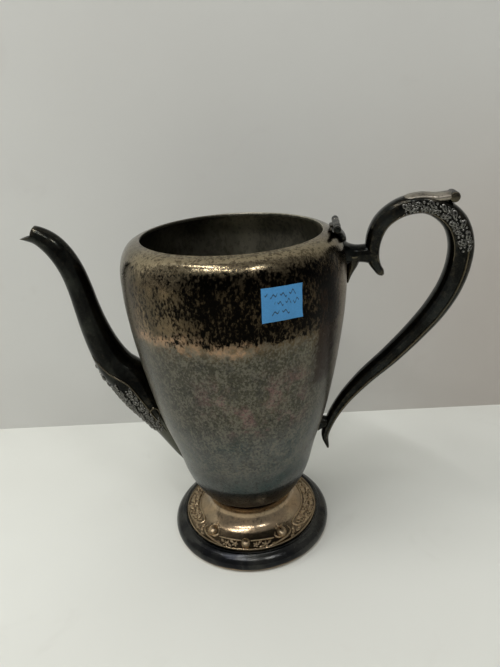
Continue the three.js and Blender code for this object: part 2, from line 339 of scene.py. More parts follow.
def turned(name, outline, steps, angle=40):
    """A chain of edges drawn along a closed outline and spun round the pot's axis."""
    deselect_all()
    bpy.ops.mesh.primitive_plane_add(size=MM, enter_editmode=True, location=(0, 0, 0))
    bpy.ops.mesh.merge(type="CENTER")
    at = Vector((AXIS_X + outline[0][0] * MM, 0, outline[0][1] * MM))
    bpy.ops.transform.translate(value=at)
    for radius, height in [*outline[1:], outline[0]]:
        to = Vector((AXIS_X + radius * MM, 0, height * MM))
        bpy.ops.mesh.extrude_region_move(TRANSFORM_OT_translate={"value": to - at})
        at = to
    bpy.ops.mesh.select_all(action="SELECT")
    bpy.ops.mesh.spin(steps=steps, angle=FULL_TURN, center=(AXIS_X, 0, 0), axis=(0, 0, 1))
    return settle(name, angle)


def ball_rings(sides, rings):
    """A new ball, with its places, each point's ring and angle, and which points are its poles."""
    deselect_all()
    bpy.ops.mesh.primitive_uv_sphere_add(segments=sides, ring_count=rings + 1, radius=1)
    piece = bpy.context.object
    places = coordinates(piece)
    ring = np.rint(np.arccos(np.clip(places[:, 2], -1, 1)) / math.pi * (rings + 1)).astype(int)
    angles = np.arctan2(places[:, 1], places[:, 0])
    return piece, places, ring, angles, (ring == 0) | (ring == rings + 1)


def rod(name, line, sides, rings, clear_of_body=False):
    """A ball drawn out along a rod's line, one ring of the ball to each step of the line."""
    piece, _, ring, angles, poles = ball_rings(sides, rings)
    along = np.clip((ring - 1) / (rings - 1), 0, 1)
    places = line.place(along, angles)
    places[poles] = line.centre(along)[poles]
    if clear_of_body:
        places = keep_out_of_body(places)
    set_coordinates(piece, places)
    return settle(name, 60)


def bevelled(name, offset, segments=4, profile=0.6):
    """Rounds every edge of the active piece."""
    bpy.ops.object.mode_set(mode="EDIT")
    bpy.ops.mesh.select_all(action="SELECT")
    bpy.ops.mesh.bevel(offset=offset, segments=segments, profile=profile)
    return settle(name)


def barrel(name, centre, low, high, radius, bevel):
    """A barrel along Y between two distances in millimetres, with rounded ends."""
    deselect_all()
    bpy.ops.mesh.primitive_cylinder_add(
        vertices=32, radius=radius * MM, depth=(high - low) * MM, rotation=(math.pi / 2, 0, 0),
        location=(centre.x, (low + high) / 2 * MM, centre.z))
    return bevelled(name, bevel * MM)


def subtract(piece, cutter):
    """Cuts one closed piece out of another and removes the cutter."""
    select_only(piece)
    cut = piece.modifiers.new("cut", "BOOLEAN")
    cut.operation = "DIFFERENCE"
    cut.solver = "EXACT"
    cut.object = cutter
    bpy.ops.object.modifier_apply(modifier=cut.name)
    bpy.data.objects.remove(cutter)


# ---- Shader nodes ----

class Paint:
    """A node tree in the making, with a running colour that tones are laid over."""

    def __init__(self, tree, vector):
        self.tree = tree
        self.vector = vector
        self.colour = None

    def feed(self, value, socket):
        """Links a socket, or sets a plain value or the colour of a named tone."""
        if isinstance(value, bpy.types.NodeSocket):
            self.tree.links.new(value, socket)
        elif isinstance(value, str):
            socket.default_value = getattr(bpy.context.scene.pot_finishes, value)
        else:
            socket.default_value = value

    def node(self, kind, inputs=None, **settings):
        made = self.tree.nodes.new(kind)
        for key, value in settings.items():
            setattr(made, key, value)
        for key, value in (inputs or {}).items():
            self.feed(value, made.inputs[key])
        return made

    def maths(self, operation, *values):
        return self.node("ShaderNodeMath", dict(enumerate(values)), operation=operation).outputs[0]

    def add(self, *values):
        return functools.reduce(lambda total, value: self.maths("ADD", total, value), values)

    def times(self, *values):
        return functools.reduce(lambda total, value: self.maths("MULTIPLY", total, value), values)

    def minus(self, value, less):
        return self.maths("SUBTRACT", value, less)

    def most(self, *values):
        return functools.reduce(lambda total, value: self.maths("MAXIMUM", total, value), values)

    def spread(self, value, low, high, to_low=0.0, to_high=1.0):
        """A value's range from low to high, eased and stretched to another."""
        ends = {"Value": value, "From Min": low, "From Max": high, "To Min": to_low, "To Max": to_high}
        made = self.node("ShaderNodeMapRange", ends, interpolation_type="SMOOTHSTEP")
        return made.outputs["Result"]

    def split(self, vector=None):
        return self.node("ShaderNodeSeparateXYZ", {0: vector or self.vector}).outputs

    def noise(self, scale, detail=3.0, roughness=0.6, distortion=0.0):
        inputs = {"Vector": self.vector, "Scale": scale, "Detail": detail, "Roughness": roughness,
                  "Distortion": distortion}
        return self.node("ShaderNodeTexNoise", inputs).outputs["Fac"]

    def mix(self, mask, under, over):
        """A colour over another where the mask is 1."""
        made = self.node("ShaderNodeMix", data_type="RGBA")
        colours = [socket for socket in made.inputs if socket.type == "RGBA"]
        for value, socket in ((mask, made.inputs[0]), (under, colours[0]), (over, colours[1])):
            self.feed(value, socket)
        return [socket for socket in made.outputs if socket.type == "RGBA"][0]

    def lay(self, tone, mask, share=1.0):
        """Lays a tone over the running colour, at most as thick as the share."""
        self.colour = self.mix(mask if share == 1.0 else self.times(mask, share), self.colour, tone)

    def use(self, name, **inputs):
        """Places one of the shared node groups and gives back its outputs."""
        made = self.node("ShaderNodeGroup", node_tree=bpy.data.node_groups[name])
        if "Vector" in made.inputs:
            inputs["Vector"] = self.vector
        for key, value in inputs.items():
            self.feed(value, made.inputs[key.replace("_", " ")])
        return made.outputs

    def between(self, value, low, high, soft):
        return self.use("Between", Value=value, From=low, To=high, Soft=soft)["Mask"]

    def speckle(self, size, patch_size, stretch, cover, softness=0.05):
        return self.use("Speckle", Size=size, Patch_Size=patch_size, Stretch=stretch, Cover=cover,
                        Softness=softness)["Mask"]

    def connect(self, roughness, height, strength, distance):
        """Gives the shader its running colour, its roughness and its bumps."""
        bump = self.node("ShaderNodeBump", {"Strength": strength, "Distance": distance, "Height": height})
        self.feed(self.colour, self.shader.inputs["Base Color"])
        self.feed(roughness, self.shader.inputs["Roughness"])
        self.feed(bump.outputs["Normal"], self.shader.inputs["Normal"])
        return self.material


def new_paint(name, metallic=0.0, ior=1.45):
    """A material with one Principled BSDF, painted by the Object coordinates of what wears it."""
    material = bpy.data.materials.new(name)
    material.use_nodes = True
    nodes = material.node_tree.nodes
    paint = Paint(material.node_tree, nodes.new("ShaderNodeTexCoord").outputs["Object"])
    paint.material = material
    paint.shader = nodes["Principled BSDF"]
    paint.feed(metallic, paint.shader.inputs["Metallic"])
    paint.feed(ior, paint.shader.inputs["IOR"])
    return paint


def new_group(name, outputs, **inputs):
    """An empty node group. An input without a default is a vector, and the rest are numbers."""
    group = bpy.data.node_groups.new(name, "ShaderNodeTree")
    for label, default in inputs.items():
        kind = "NodeSocketVector" if default is None else "NodeSocketFloat"
        socket = group.interface.new_socket(name=label.replace("_", " "), in_out="INPUT", socket_type=kind)
        if default is not None:
            socket.default_value = default
    for label in outputs:
        group.interface.new_socket(name=label, in_out="OUTPUT", socket_type="NodeSocketFloat")
    given = group.nodes.new("NodeGroupInput").outputs
    return Paint(group, given.get("Vector")), given, group.nodes.new("NodeGroupOutput").inputs


def build_groups():
    """The effects that several finishes share."""
    # Turn round the body's axis in degrees, 0 at -Y and 90 at +X, and height in millimetres.
    p, given, made = new_group("Round The Axis", ("Turn", "Height"), Vector=None)
    x, y, z = p.split()
    p.feed(p.maths("DEGREES", p.maths("ARCTAN2", p.minus(x, AXIS_X), p.times(y, -1.0))), made["Turn"])
    p.feed(p.times(z, 1000.0), made["Height"])

    # 1 between two limits, easing to 0 over a soft distance outside each.
    p, given, made = new_group("Between", ("Mask",), Value=0.0, From=0.0, To=1.0, Soft=0.1)
    above = p.maths("DIVIDE", p.minus(given["Value"], given["From"]), given["Soft"])
    below = p.maths("DIVIDE", p.minus(given["To"], given["Value"]), given["Soft"])
    p.feed(p.spread(p.add(p.maths("MINIMUM", above, below), 1.0), 0.0, 1.0), made["Mask"])

    # Small dark or light grains, gathered in patches. Stretch below 1 draws them out upright.
    p, given, made = new_group("Speckle", ("Mask",), Vector=None, Size=1.0, Patch_Size=12.0,
                               Stretch=1.0, Cover=0.5, Softness=0.05)
    upright = p.node("ShaderNodeCombineXYZ", {0: 1.0, 1: 1.0, 2: given["Stretch"]}).outputs[0]
    p.vector = p.node("ShaderNodeVectorMath", {0: p.vector, 1: upright}, operation="MULTIPLY").outputs[0]
    grain = p.noise(p.maths("DIVIDE", 1000.0, given["Size"]), 3.0, 0.65, 0.3)
    patch = p.noise(p.maths("DIVIDE", 1000.0, given["Patch Size"]), 2.0, 0.55, 0.6)
    mixed = p.add(p.times(grain, 0.68), p.times(patch, 0.32))
    limit = p.minus(0.72, p.times(given["Cover"], 0.44))
    edge = given["Softness"]
    p.feed(p.spread(p.minus(mixed, limit), p.times(edge, -1.0), edge), made["Mask"])

    # Fine scratches and handling marks, as a height for a Bump node and a mask.
    p, given, made = new_group("Fine Scratches", ("Height", "Mask"), Vector=None, Size=0.5)
    lines = []
    for tilt, stretch in ((0.4, 0.05), (2.1, 0.08)):
        drawn = {"Vector": given["Vector"], "Rotation": (tilt, 0.3, tilt), "Scale": (1, stretch, 1)}
        p.vector = p.node("ShaderNodeMapping", drawn).outputs[0]
        lines.append(p.spread(p.noise(p.maths("DIVIDE", 1000.0, given["Size"]), 2.0, 0.5), 0.6, 0.75))
    mask = p.most(*lines)
    p.feed(p.times(mask, -1.0), made["Height"])
    p.feed(mask, made["Mask"])

    # Masks of raised edges and of hollows, from the shape itself, the first broken up by grain.
    p, given, made = new_group("Worn Edges", ("Raised", "Hollow"), Vector=None, Size=2.0, Sharpness=14.0)
    point = p.node("ShaderNodeNewGeometry").outputs["Pointiness"]
    broken = p.noise(p.maths("DIVIDE", 1000.0, given["Size"]))
    lean = p.times(p.minus(point, 0.5), given["Sharpness"])
    shaken = p.add(lean, p.times(p.minus(broken, 0.5), 0.8))
    p.feed(p.spread(shaken, 0.15, 0.75), made["Raised"])
    p.feed(p.spread(p.times(lean, -1.0), 0.1, 0.6), made["Hollow"])


# ---- Finishes ----

def body_outside():
    """Silver plate gone bronze, black and grey in bands up the body."""
    p = new_paint("body_tarnish", metallic=1.0)
    place = p.use("Round The Axis")
    turn, height = place["Turn"], place["Height"]
    wander = p.times(p.minus(p.noise(60.0), 0.5), 13.0)
    ripple = p.times(p.minus(p.noise(420.0, 2.0), 0.5), 7.0)
    level = p.add(wander, ripple, height)
    cloud = p.noise(38.0, 3.0, 0.55, 0.4)
    fine = p.noise(900.0, 3.0, 0.7)

    # The ground: grey-blue low down, grey-green in the middle, olive bronze above, champagne on top.
    p.colour = p.mix(p.spread(cloud, 0.38, 0.62), "low_grey", "teal_grey")
    middle = p.mix(p.spread(cloud, 0.42, 0.66), "green_grey", "frost")
    upper = p.mix(p.spread(cloud, 0.4, 0.66), "olive", "bronze")
    p.lay(middle, p.spread(level, 84.0, 106.0))
    p.lay(upper, p.spread(level, 139.0, 149.0))
    p.lay("champagne", p.spread(height, 175.0, 186.0))

    # Painted reflection: the sides are made lighter to stand in for the bright wall they reflect at grazing
    # angles.
    sides = p.most(p.between(turn, -150.0, -56.0, 8.0), p.between(turn, 72.0, 140.0, 10.0))
    p.lay("sides_painted_reflection", p.times(sides, p.spread(height, 40.0, 90.0)), 0.75)

    # The copper band under the black tarnish, and rose patches in the middle.
    broken = p.spread(p.noise(190.0, 4.0, 0.7), 0.38, 0.58, 0.1, 0.95)
    p.lay("copper", p.times(p.between(level, 147.5, 151.0, 3.5), p.between(turn, -42.0, 6.0, 18.0), broken))
    patches = p.spread(p.noise(75.0, 3.0, 0.65, 0.8), 0.46, 0.62)
    here = p.times(p.between(height, 104.0, 122.0, 16.0), p.between(turn, -8.0, 34.0, 16.0))
    p.lay("rose", p.times(patches, here, p.spread(fine, 0.38, 0.6, 0.35, 1.0)), 0.8)
    # Painted shade: the dark-fleck tone is also laid thinly over the left front of the middle to darken it.
    p.lay("pit", p.times(p.between(turn, -50.0, -14.0, 12.0), p.between(level, 60.0, 143.0, 8.0)), 0.35)

    # Frosty flecks over the middle, dark ones low down and in the shoulder.
    flecked = p.times(p.speckle(1.25, 5.0, 0.8, 0.47), p.between(level, 70.0, 143.0, 16.0))
    p.lay("fleck", flecked, 0.55)
    p.lay("pit", p.times(p.speckle(1.3, 9.0, 0.7, 0.4), p.between(height, 50.0, 140.0, 12.0)), 0.6)
    p.lay("olive", p.times(p.speckle(1.2, 4.0, 0.9, 0.46), p.spread(height, 172.0, 182.0)), 0.8)

    # Black tarnish, thickest in front under the shoulder and drawn out upright, and a rust stain.
    thick = p.times(p.between(turn, -4.0, 54.0, 22.0), p.between(height, 156.0, 180.0, 11.0))
    spotty = p.times(p.between(turn, -46.0, 64.0, 10.0), p.between(height, 151.0, 182.0, 6.0))
    away = p.most(p.between(turn, -180.0, -95.0, 25.0), p.between(turn, 100.0, 180.0, 25.0))
    far_side = p.times(away, p.between(height, 148.0, 180.0, 10.0), 0.42)
    cover = p.most(p.add(p.times(thick, 0.2), p.times(spotty, 0.41)), far_side)
    black = p.times(p.speckle(1.35, 7.0, 0.6, cover, 0.075), p.spread(cover, 0.02, 0.2))
    p.lay("fleck", p.spread(fine, 0.3, 0.75, 0.0, 0.16))
    p.lay("smoke", thick, 0.8)
    strayed = p.add(p.times(ripple, 1.5), wander, turn)
    p.lay("rust", p.times(p.between(strayed, 51.0, 61.0, 6.0), p.between(level, 122.0, 170.0, 8.0)), 0.95)
    p.lay("black", black)

    # Painted shade: the turned-under bottom is smooth, and darkened to stand in for the shade and the dark
    # reflection of the foot below it.
    p.lay("under", p.spread(height, 48.8, 47.6), 0.9)

    roughness = p.add(
        p.spread(fine, 0.3, 0.7, 0.24, 0.36), p.times(flecked, 0.1),
        p.spread(height, 172.0, 184.0, 0.0, -0.12), p.times(black, 0.06))
    scratches = p.use("Fine Scratches", Size=0.5)["Height"]
    bumps = p.add(p.times(fine, 0.7), p.times(scratches, 0.25), p.times(black, -0.5))
    return p.connect(roughness, bumps, 0.3, 0.00015)


def body_inside():
    """The stained inside of the body, with painted shade darkening it towards the spout side."""
    p = new_paint("body_inside", metallic=0.95)
    cloud = p.noise(30.0, 4.0, 0.6, 0.5)
    p.colour = p.mix(p.spread(cloud, 0.35, 0.7), "inside_dark", "inside_light")
    p.lay("black", p.speckle(2.0, 14.0, 0.6, 0.45, 0.06), 0.3)
    # Painted shade: black laid over the inside, growing towards the spout side, stands in for the shade on
    # that inner wall.
    p.lay("black", p.spread(p.split()[0], AXIS_X + 0.012, AXIS_X - 0.03, 0.0, 0.8))
    return p.connect(p.spread(cloud, 0.3, 0.7, 0.3, 0.48), cloud, 0.15, 0.0003)


# Ground, clouds, rubbed edges, lowest roughness, share of wear on edges and of black in hollows.
CAST_FINISHES = {
    "spout_dark": ("gunmetal", "gunmetal_green", "cast_wear", 0.15, 0.4, 0.8),
    "handle_dark": ("gunmetal", "handle_grey", "cast_wear", 0.18, 0.45, 0.8),
    # The ornament's raised tops are lightened partly for rubbed wear and partly as a painted highlight.
    "relief_dark": ("gunmetal", "handle_grey", "relief_wear_and_highlight", 0.22, 0.5, 0.6),
    "foot_golden": ("foot_gold", "foot_brown", "foot_bright", 0.17, 0.35, 0.3),
    "foot_relief": ("foot_brown", "foot_gold", "foot_bright", 0.26, 0.5, 0.2),
    "hinge_dark": ("gunmetal", "handle_grey", "cast_wear", 0.3, 0.12, 0.5),
    "edge_gold": ("edge_gold", "gunmetal_green", "cast_wear", 0.25, 0.3, 0.5),
    # Partly wear and partly painted highlight: the thumb rest is light for its worn top and for the light on
    # its upward face.
    "thumb_wear_and_highlight": ("thumb", "handle_grey", "cast_wear", 0.3, 0.4, 0.8),
    # The hinge rings are painted near-white as a highlight.
    "ring_painted_highlight": ("ring", "cast_wear", "ring", 0.2, 0.2, 0.8),
}
# A tone below a height: the tone, the height and the distance it fades over in millimetres, its share.
LOW_TONES = {"spout_dark": ("tail_grey", 80, 7, 0.9), "foot_golden": ("foot_stain", 12.4, 0.5, 0.6)}


def cast_metal(name):
    """Cast silver gone dark, with wear on what stands out and black left in the hollows."""
    ground, cloudy, rubbed, smoothest, raised, hollow = CAST_FINISHES[name]
    p = new_paint(name, metallic=1.0)
    fine = p.noise(700.0, 3.0, 0.65)
    p.colour = p.mix(p.spread(p.noise(55.0, 4.0, 0.6, 0.4), 0.4, 0.66), ground, cloudy)
    if name in LOW_TONES:
        tone, level, soft, share = LOW_TONES[name]
        height = p.use("Round The Axis")["Height"]
        p.lay(tone, p.spread(height, level + soft, level - soft, 0.0, share))
    p.lay("black", p.speckle(1.4, 10.0, 0.8, 0.34, 0.06), 0.5)
    wear = p.use("Worn Edges", Size=2.2, Sharpness=16.0)
    p.lay("black", wear["Hollow"], hollow)
    p.lay(rubbed, wear["Raised"], raised)
    scratches = p.use("Fine Scratches", Size=0.7)
    p.lay(rubbed, scratches["Mask"], 0.12)
    bumps = p.add(p.times(fine, 0.5), p.times(scratches["Height"], 0.3))
    return p.connect(p.spread(fine, 0.3, 0.7, smoothest, smoothest + 0.08), bumps, 0.08, 0.0001)


def rim_metal():
    """The foot's blackened rim, rubbed back to gold where it meets the table."""
    p = new_paint("foot_rim_black", metallic=1.0)
    cloud = p.noise(45.0, 3.0, 0.6, 0.5)
    p.colour = p.mix(p.spread(cloud, 0.4, 0.65), "rim_black", "rim_grey")
    p.lay("black", p.speckle(1.6, 16.0, 1.0, 0.42, 0.08), 0.35)
    rubbed = p.add(p.times(cloud, 3.4), p.use("Round The Axis")["Height"])
    p.lay("foot_gold", p.spread(rubbed, 4.1, 2.7, 0.0, 0.85))
    scratches = p.use("Fine Scratches", Size=0.6)
    p.lay("rim_grey", scratches["Mask"], 0.2)
    return p.connect(p.spread(p.noise(500.0), 0.3, 0.7, 0.17, 0.28), scratches["Height"], 0.15, 0.0001)


def tag_paper():
    """Blue sticky paper with faint fibres and three lines of idle pen squiggle."""
    p = new_paint("tag_paper", ior=1.5)
    fibres = p.noise(1400.0, 4.0, 0.7)
    p.colour = p.mix(p.spread(fibres, 0.3, 0.7), "paper", "paper_light")
    p.lay("paper_shade", p.spread(p.noise(90.0, 2.0, 0.5), 0.35, 0.7, 0.0, 0.25))
    across, up, _ = p.split(p.node("ShaderNodeUVMap", uv_map="sheet").outputs[0])

    def swing(pace):
        return p.maths("SINE", p.times(across, pace))

    strokes = []
    for middle, start, end, pace in TAG_SQUIGGLES:
        line = p.add(p.times(swing(pace), 0.045), p.times(swing(pace * 0.37), 0.04))
        off = p.maths("ABSOLUTE", p.minus(p.minus(up, middle), line))
        gaps = p.spread(swing(pace * 0.53), -0.75, -0.6)
        strokes.append(p.times(p.spread(off, 0.030, 0.014), p.between(across, start, end, 0.01), gaps))
    p.lay("ink", p.most(*strokes), 0.85)
    return p.connect(p.spread(fibres, 0.3, 0.7, 0.6, 0.8), fibres, 0.3, 0.00005)


def room_surface(name, tone, mark, smoothest, is_wall=False):
    """A plain painted surface. The wall is shaded low on the right and clear from behind."""
    p = new_paint(name)
    smudge = p.noise(26.0, 3.0, 0.6, 0.6)
    p.colour = p.mix(p.spread(p.noise(3.0, 3.0, 0.5), 0.35, 0.7, 0.0, 0.5), tone, mark)
    p.lay(mark, p.spread(smudge, 0.62, 0.78, 0.0, 0.35))
    if is_wall:
        x, _, z = p.split()
        p.lay("wall_shade", p.times(p.spread(x, 0.0, 0.2), p.spread(z, 0.3, 0.12, 0.0, 0.5)))
        behind = p.node("ShaderNodeNewGeometry").outputs["Backfacing"]
        clear = p.node("ShaderNodeBsdfTransparent").outputs[0]
        choice = p.node("ShaderNodeMixShader", {0: behind, 1: p.shader.outputs[0], 2: clear})
        p.feed(choice.outputs[0], p.tree.nodes["Material Output"].inputs["Surface"])
    return p.connect(p.spread(smudge, 0.3, 0.7, smoothest, smoothest + 0.15), smudge, 0.05, 0.0005)


def finish(name):
    """A material by name, made the first time it is asked for."""
    if name in bpy.data.materials:
        return bpy.data.materials[name]
    if "Speckle" not in bpy.data.node_groups:
        build_groups()
    if name in CAST_FINISHES:
        return cast_metal(name)
    makers = {
        "body_tarnish": body_outside,
        "body_inside": body_inside,
        "foot_rim_black": rim_metal,
        "tag_paper": tag_paper,
        "table_top": lambda: room_surface("table_top", "table", "table_mark", 0.5),
        "back_wall": lambda: room_surface("back_wall", "wall", "wall_mark", 0.8, is_wall=True),
    }
    return makers[name]()


# ---- Small cast ornaments, modelled once and copied ----

def wire(name, points, radius, taper=0.35):
    """A round wire through the points, thinner at its ends, drawn as a curve and made a mesh."""
    deselect_all()
    curve = bpy.data.curves.new(name, "CURVE")
    curve.dimensions = "3D"
    curve.bevel_depth = radius
    curve.bevel_resolution = 2
    curve.use_fill_caps = True
    spline = curve.splines.new("POLY")
    spline.points.add(len(points) - 1)
    for i, place in enumerate(points):
        share = math.sin(math.pi * i / (len(points) - 1)) ** 0.5
        spline.points[i].co = (*place, 1)
        spline.points[i].radius = taper + (1 - taper) * share
    piece = bpy.data.objects.new(name, curve)
    bpy.context.collection.objects.link(piece)
    select_only(piece)
    bpy.ops.object.convert(target="MESH")
    return settle(name, 70)


def ball(name, segments=8, rings=5):
    deselect_all()
    bpy.ops.mesh.primitive_uv_sphere_add(segments=segments, ring_count=rings, radius=1)
    return settle(name, 80)


def leaf(name):
    """A pointed leaf 2 long and 1 wide, with a sunken rib, lying along X."""
    piece = ball(name, 10, 7)
    places = coordinates(piece)
    along = places[:, 0].copy()
    places[:, 1] *= 0.55 * (1 - 0.45 * np.clip(along, 0, 1) ** 1.5)
    places[:, 2] *= 0.45
    places[:, 2] -= 0.22 * np.exp(-(places[:, 1] / 0.12) ** 2) * (places[:, 2] > 0.05)
    places[:, 2] += 0.12 * along ** 2
    set_coordinates(piece, places)
    return piece


def roundel(name):
    """A domed boss of radius 1 inside a raised ring."""
    deselect_all()
    bpy.ops.mesh.primitive_cylinder_add(vertices=24, radius=1, depth=0.5, location=(0, 0, 0))
    bpy.ops.object.mode_set(mode="EDIT")
    bpy.ops.mesh.select_all(action="DESELECT")
    bpy.ops.object.mode_set(mode="OBJECT")
    piece = bpy.context.object
    for face in piece.data.polygons:
        face.select = face.normal.z > 0.9
    bpy.ops.object.mode_set(mode="EDIT")
    for inset, rise in ((0.05, 0.06), (0.06, -0.07), (0.03, 0.06), (0.1, 0.16), (0.2, 0.14), (0.26, 0.06)):
        bpy.ops.mesh.inset(thickness=inset)
        bpy.ops.transform.translate(value=(0, 0, rise))
    bpy.ops.mesh.poke()
    return settle(name, 80)


def stamp(model, matrix, size=1.0, stretch=(1, 1, 1)):
    """A copy of an ornament, with its own mesh, set down by a matrix."""
    copy = bpy.data.objects.new(model.name, model.data.copy())
    scale = Matrix.Diagonal((size * stretch[0], size * stretch[1], size * stretch[2], 1))
    copy.data.transform(matrix @ scale)
    bpy.context.collection.objects.link(copy)
    return copy


def turn_about_z(degrees):
    return Matrix.Rotation(math.radians(degrees), 4, "Z")


def spray(models, matrix, size, chance):
    """A berry with five petals round it."""
    made = []
    for i in range(5):
        turned_to = matrix @ turn_about_z(72 * i + chance.uniform(-9, 9))
        petal = turned_to @ Matrix.Translation((size * 1.1, 0, 0))
        made.append(stamp(models["leaf"], petal, size * 0.72, (1, 1.25, 0.8)))
    return [*made, stamp(models["berry"], matrix, size * 0.62)]


def vine(models, place, shares, chance, size):
    """Leaves to both sides and berries between them, at frames that place(share, side) gives."""
    made = []
    for i, share in enumerate(shares):
        side = 1 if i % 2 else -1
        here = place(share, 0.55 * side)
        tilt = side * (38 + chance.uniform(-16, 16))
        made.append(stamp(models["leaf"], here @ turn_about_z(tilt), size * chance.uniform(0.85, 1.15)))
        other = place(share, -0.45 * side)
        if i % 3 == 1:
            made += spray(models, other, size * 0.62, chance)
        else:
            for reach, lift in ((0.5, 0.1), (-0.35, 0.35), (-0.3, -0.4)):
                drop = Matrix.Translation((size * reach, size * lift, 0))
                made.append(stamp(models["berry"], other @ drop, size * chance.uniform(0.3, 0.42)))
    return made


def ornament_models():
    models = {"leaf": leaf("leaf_model"), "berry": ball("berry_model"), "boss": roundel("boss_model")}
    for model in models.values():
        model.hide_render = True
    return models


def drop_models(models):
    for model in models.values():
        bpy.data.objects.remove(model)


# ---- Sizes and colours ----

TONES = {
    "champagne": ((0.34, 0.28, 0.18), "Shoulder of the body"),
    "olive": ((0.075, 0.055, 0.03), "Dark ground below the shoulder"),
    "bronze": ((0.2, 0.142, 0.08), "Light ground below the shoulder"),
    "copper": ((0.38, 0.24, 0.145), "Band round the middle of the body"),
    "rust": ((0.018, 0.008, 0.003), "Brown stain beside the tag"),
    "smoke": ((0.028, 0.02, 0.011), "Ground under the heavy tarnish"),
    "black": ((0.003, 0.0026, 0.002), "Heavy tarnish"),
    "green_grey": ((0.048, 0.046, 0.034), "Ground of the middle"),
    "frost": ((0.085, 0.077, 0.055), "Light ground of the middle"),
    "fleck": ((0.2, 0.188, 0.15), "Bright flecks"),
    "rose": ((0.2, 0.11, 0.11), "Pink patches"),
    # Dark flecks, and also painted shade over the left front of the body.
    "pit": ((0.035, 0.035, 0.035), "Dark flecks"),
    "low_grey": ((0.095, 0.1, 0.095), "Ground of the lower part"),
    "teal_grey": ((0.035, 0.055, 0.055), "Cold ground of the lower part"),
    # Painted shade: this dark tone stands in for the shade and the foot's dark reflection on the turned-under
    # bottom.
    "under": ((0.014, 0.015, 0.014), "Turned-under bottom"),
    # Painted reflection: a lighter tone on the body's sides, standing in for the bright wall seen in them.
    "sides_painted_reflection": ((0.2, 0.165, 0.11), "Plain sides of the body"),
    "inside_dark": ((0.36, 0.35, 0.27), "Inside of the body"),
    "inside_light": ((0.74, 0.7, 0.57), "Inside of the body where it is clean"),
    "gunmetal": ((0.009, 0.0095, 0.009), "Ground of the cast pieces"),
    "gunmetal_green": ((0.026, 0.028, 0.024), "Cloudy parts of the spout"),
    "tail_grey": ((0.1, 0.1, 0.082), "Pointed tail of the spout"),
    "handle_grey": ((0.021, 0.023, 0.022), "Cloudy parts of the handle"),
    "cast_wear": ((0.2, 0.17, 0.115), "Rubbed edges of the cast pieces"),
    # Partly rubbed wear and partly painted highlight on the tops of the cast ornament.
    "relief_wear_and_highlight": ((0.34, 0.33, 0.3), "Tops of the cast ornament"),
    # Partly wear and partly painted highlight on the thumb rest's upward face.
    "thumb": ((0.42, 0.38, 0.32), "Worn top of the thumb rest"),
    # Painted highlight: near-white colour of the hinge rings, standing in for the bright highlight on them.
    "ring": ((0.75, 0.73, 0.68), "Bright rings of the hinge"),
    "foot_gold": ((0.44, 0.325, 0.205), "Slope of the foot"),
    "foot_brown": ((0.31, 0.24, 0.16), "Stained parts of the foot"),
    "foot_stain": ((0.11, 0.08, 0.05), "Ground of the cast border"),
    "foot_bright": ((0.55, 0.43, 0.27), "Rubbed tops on the foot"),
    "edge_gold": ((0.075, 0.06, 0.036), "Rubbed wire along the handle"),
    "rim_black": ((0.02, 0.021, 0.024), "Rim of the foot"),
    "rim_grey": ((0.065, 0.065, 0.06), "Cloudy parts of the rim"),
    "paper": ((0.052, 0.25, 0.53), "Tag"),
    "paper_light": ((0.08, 0.31, 0.62), "Tag's fibres"),
    "paper_shade": ((0.04, 0.17, 0.38), "Tag's stains"),
    "ink": ((0.01, 0.012, 0.02), "Pen marks"),
    "table": ((0.74, 0.75, 0.7), "Table top"),
    "table_mark": ((0.62, 0.62, 0.57), "Marks on the table top"),
    "wall": ((0.66, 0.66, 0.63), "Wall behind"),
    "wall_shade": ((0.4, 0.33, 0.28), "Shadow on the wall, low on the right"),
    "wall_mark": ((0.6, 0.59, 0.56), "Marks on the wall"),
}


def length(label, millimetres, where):
    return bpy.props.FloatProperty(
        name=label, description=where, default=millimetres * MM, subtype="DISTANCE", unit="LENGTH")


class PotSizes(bpy.types.PropertyGroup):
    round_steps: bpy.props.IntProperty(
        name="Round Steps", description="Steps in the spun pieces", default=144, min=24, max=256)
    lip_roll: length("Lip Roll", 0.55, "Radius of the rolled edge of the mouth")
    relief: length("Relief", 1.7, "Length of half a cast leaf")
    edge_wire: length("Edge Wire", 0.6, "Radius of the wire along the handle")
    tag_lift: length("Tag Lift", 0.7, "How far the tag's corners stand off the body")
    lens: bpy.props.FloatProperty(
        name="Lens", description="Focal length of the camera in millimetres", default=29.64, min=10, max=200)


class PotFinishes(bpy.types.PropertyGroup):
    """A colour for each of the tones"""
    __annotations__ = {
        name: bpy.props.FloatVectorProperty(
            name=name.replace("_", " ").title(), description=where, default=(*colour, 1.0),
            size=4, subtype="COLOR", min=0.0, max=1.0)
        for name, (colour, where) in TONES.items()
    }


# ---- The pieces ----

